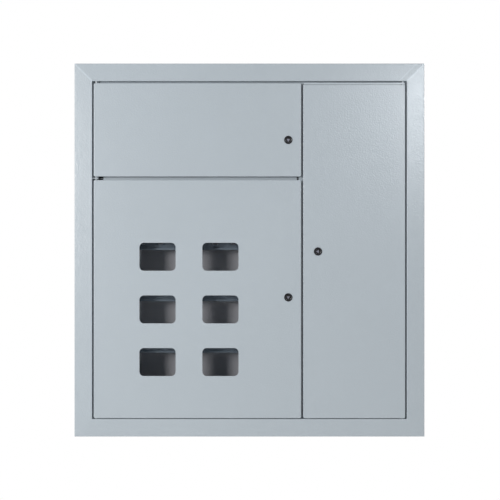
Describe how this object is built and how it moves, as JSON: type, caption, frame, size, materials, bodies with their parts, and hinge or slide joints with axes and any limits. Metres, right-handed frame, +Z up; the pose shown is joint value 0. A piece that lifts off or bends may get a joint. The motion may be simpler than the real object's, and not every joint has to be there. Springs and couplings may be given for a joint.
{
  "type": "floor distribution board",
  "caption": "Recessed floor distribution board with a mitred front frame, three lockable hinged doors, meter windows, device rails and an anchor-hole back panel.",
  "frame": {"origin": "centre of the wall anchor holes, on the rear face of the back panel", "axes": "+X to the right seen from the front, +Y to the back (into the wall), +Z up"},
  "size_m": [0.938, 0.142, 1],
  "materials": {
    "painted_cabinet": "satin powder coat",
    "painted_door": "satin powder coat",
    "clear_pane": "clear",
    "black_lock": "matt",
    "brass_bar": "bright",
    "insulator": "matt",
    "zinc_steel": "zinc plated"
  },
  "bodies": {
    "cabinet": {"back_panel": "painted_cabinet", "bar_screws": "zinc_steel", "bar_supports": "insulator", "bottom_wall": "painted_cabinet", "breaker_cover": "painted_cabinet", "centre_mullion": "painted_cabinet", "cover_screws": "zinc_steel", "cover_standoffs": "zinc_steel", "crossbar": "painted_cabinet", "earth_bar": "brass_bar", "frame_bottom": "painted_cabinet", "frame_left": "painted_cabinet", "frame_right": "painted_cabinet", "frame_top": "painted_cabinet", "horizontal_partition": "painted_cabinet", "left_wall": "painted_cabinet", "low_current_plate": "zinc_steel", "meter_post_left": "zinc_steel", "meter_post_right": "zinc_steel", "meter_rail_1": "zinc_steel", "meter_rail_2": "zinc_steel", "meter_rail_3": "zinc_steel", "middle_hinge_bracket": "painted_cabinet", "neutral_bar": "brass_bar", "plate_standoffs": "zinc_steel", "rail_screws": "zinc_steel", "right_wall": "painted_cabinet", "switch_rail": "zinc_steel", "switch_rail_brackets": "zinc_steel", "top_wall": "painted_cabinet", "vertical_partition": "painted_cabinet"},
    "switch_door": {"switch_door": "painted_door", "switch_door_pin": "zinc_steel", "switch_lock_body": "black_lock", "switch_lock_clip": "zinc_steel"},
    "meter_door": {"meter_door": "painted_door", "meter_door_pin": "zinc_steel", "meter_lock_body": "black_lock", "meter_lock_clip": "zinc_steel", "pane_clips": "zinc_steel", "window_pane_1": "clear_pane", "window_pane_2": "clear_pane", "window_pane_3": "clear_pane", "window_pane_4": "clear_pane", "window_pane_5": "clear_pane", "window_pane_6": "clear_pane"},
    "low_current_door": {"low_current_door": "painted_door", "low_current_door_pins": "zinc_steel", "low_current_lock_body": "black_lock", "low_current_lock_clip": "zinc_steel"},
    "switch_lock_rotor": {"switch_lock_spindle": "zinc_steel", "switch_lock_cam": "zinc_steel", "switch_lock_cam_screw": "zinc_steel"},
    "meter_lock_rotor": {"meter_lock_spindle": "zinc_steel", "meter_lock_cam": "zinc_steel", "meter_lock_cam_screw": "zinc_steel"},
    "low_current_lock_rotor": {"low_current_lock_spindle": "zinc_steel", "low_current_lock_cam": "zinc_steel", "low_current_lock_cam_screw": "zinc_steel"}
  },
  "joints": [
    {"name": "switch_door_hinge", "type": "hinge", "parent": "cabinet", "child": "switch_door", "pos_m": [-0.4115, -0.134, 0.3221], "axis": [0, 0, -1], "range_deg": [0, 110]},
    {"name": "meter_door_hinge", "type": "hinge", "parent": "cabinet", "child": "meter_door", "pos_m": [-0.4115, -0.134, -0.1298], "axis": [0, 0, -1], "range_deg": [0, 110]},
    {"name": "low_current_door_hinge", "type": "hinge", "parent": "cabinet", "child": "low_current_door", "pos_m": [0.4115, -0.134, 0.001], "axis": [0, 0, 1], "range_deg": [0, 110]},
    {"name": "switch_lock_turn", "type": "hinge", "parent": "switch_door", "child": "switch_lock_rotor", "pos_m": [0.1039, -0.13, 0.2949], "axis": [0, -1, 0], "range_deg": [0, 90]},
    {"name": "meter_lock_turn", "type": "hinge", "parent": "meter_door", "child": "meter_lock_rotor", "pos_m": [0.1039, -0.13, -0.1268], "axis": [0, -1, 0], "range_deg": [0, 90]},
    {"name": "low_current_lock_turn", "type": "hinge", "parent": "low_current_door", "child": "low_current_lock_rotor", "pos_m": [0.1834, -0.13, -0.0039], "axis": [0, 1, 0], "range_deg": [0, 90]}
  ]
}
